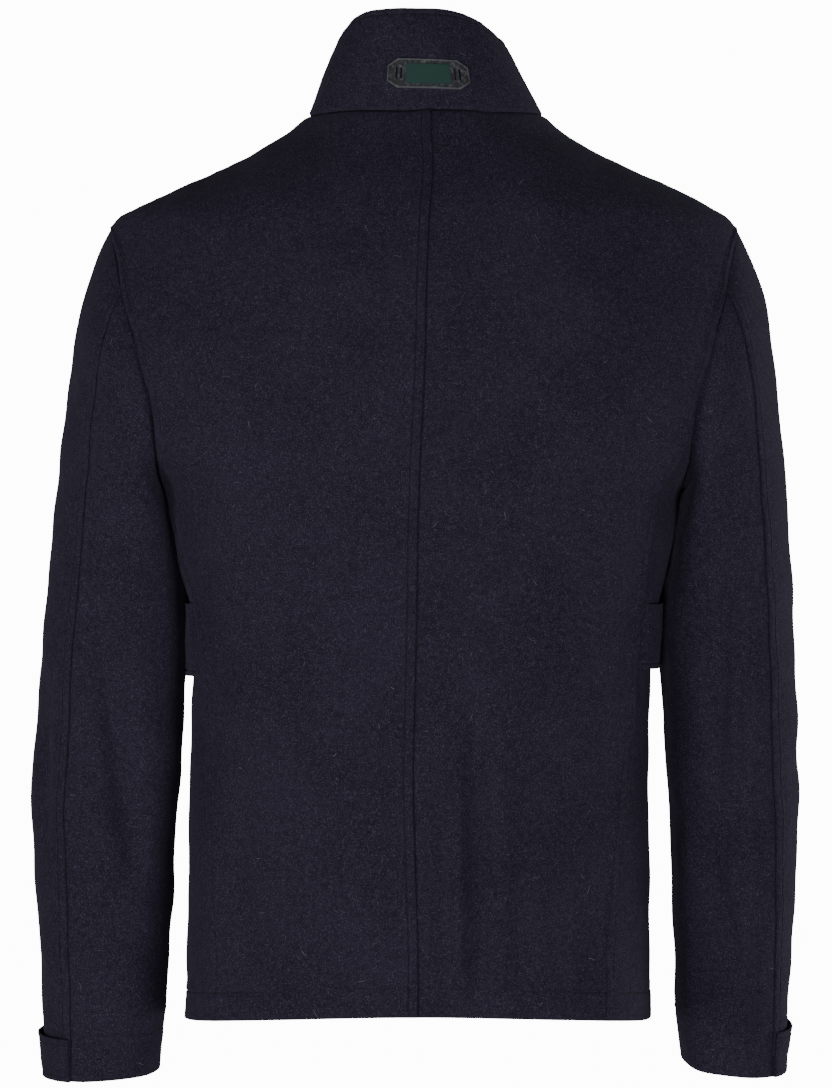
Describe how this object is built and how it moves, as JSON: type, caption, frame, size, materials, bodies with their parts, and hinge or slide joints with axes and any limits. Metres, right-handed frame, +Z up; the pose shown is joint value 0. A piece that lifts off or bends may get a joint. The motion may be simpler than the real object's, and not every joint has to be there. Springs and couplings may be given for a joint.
{
  "type": "short wool overcoat",
  "caption": "Short wool overcoat with a stand collar, set-in two-piece sleeves, cuff straps, hip pocket flaps and a buttoned front, standing hollow in its worn shape.",
  "frame": {"origin": "middle of the neck opening, level with the back of the collar seam", "axes": "+Z up along the wearer's body, -Y the way the wearer faces, +X towards the wearer's left"},
  "size_m": [0.5939, 0.2747, 0.8239],
  "materials": {
    "wool": "milled wool melton, near black navy, short matt nap",
    "rubber": "matt moulded rubber",
    "inlay": "matt green rubber",
    "button": "satin dark plastic"
  },
  "bodies": {
    "root": {"back_left": "wool", "front_left": "wool", "side_left": "wool", "sleeve_top_left": "wool", "sleeve_under_left": "wool", "pocket_flap_left": "wool", "cuff_strap_left": "wool", "cuff_button_left": "button", "back_right": "wool", "front_right": "wool", "side_right": "wool", "sleeve_top_right": "wool", "sleeve_under_right": "wool", "pocket_flap_right": "wool", "cuff_strap_right": "wool", "cuff_button_right": "button", "collar": "wool", "front_button_1": "button", "front_button_2": "button", "front_button_3": "button", "front_button_4": "button", "front_button_5": "button", "badge_plate": "rubber", "badge_inlay": "inlay"}
  },
  "joints": []
}
